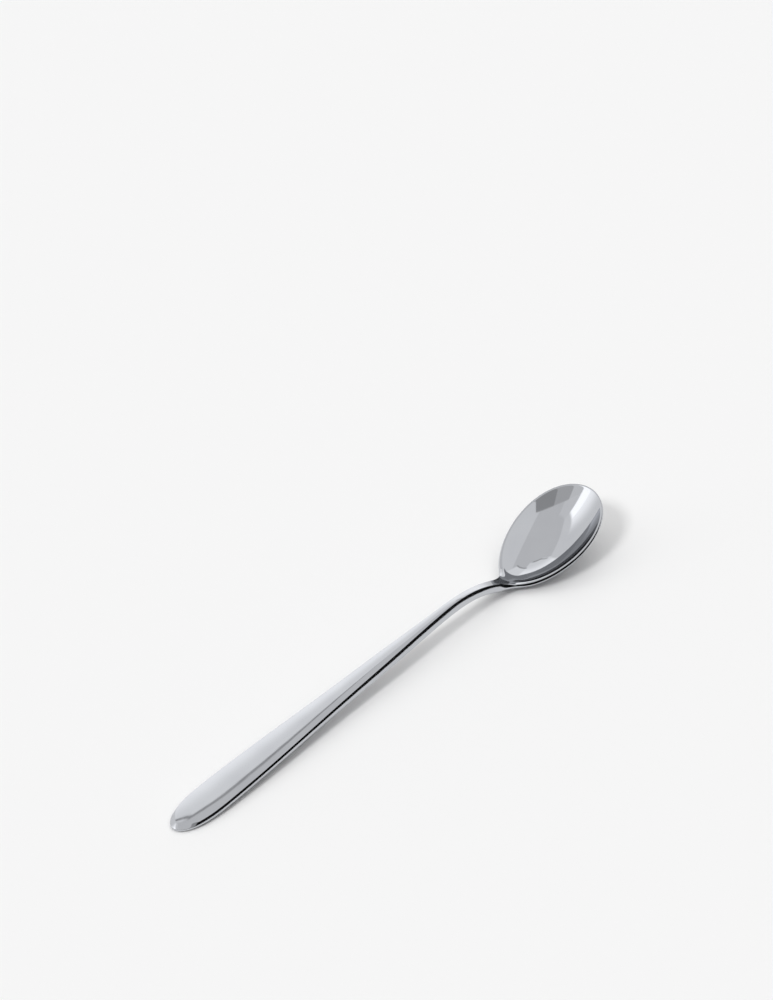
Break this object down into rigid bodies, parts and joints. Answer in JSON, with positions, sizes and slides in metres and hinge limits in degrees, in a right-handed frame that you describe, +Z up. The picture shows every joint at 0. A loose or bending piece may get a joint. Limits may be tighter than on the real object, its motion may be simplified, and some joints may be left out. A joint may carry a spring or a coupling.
{
  "type": "iced tea spoon",
  "caption": "Long slim spoon for tall glasses, with a crowned flat handle, a narrowing stem, a bent neck and an oval bowl.",
  "frame": {"origin": "on the table the spoon rests on, halfway along it and in the middle of its width", "axes": "+X from the handle's tip to the bowl's tip, +Y across the spoon, +Z up out of the bowl"},
  "size_m": [0.2, 0.0292, 0.0191],
  "materials": {
    "handle": "polished",
    "stem": "polished",
    "neck": "polished",
    "bowl": "polished"
  },
  "bodies": {
    "root": {"handle": "handle", "stem": "stem", "neck": "neck", "bowl": "bowl"}
  },
  "joints": []
}
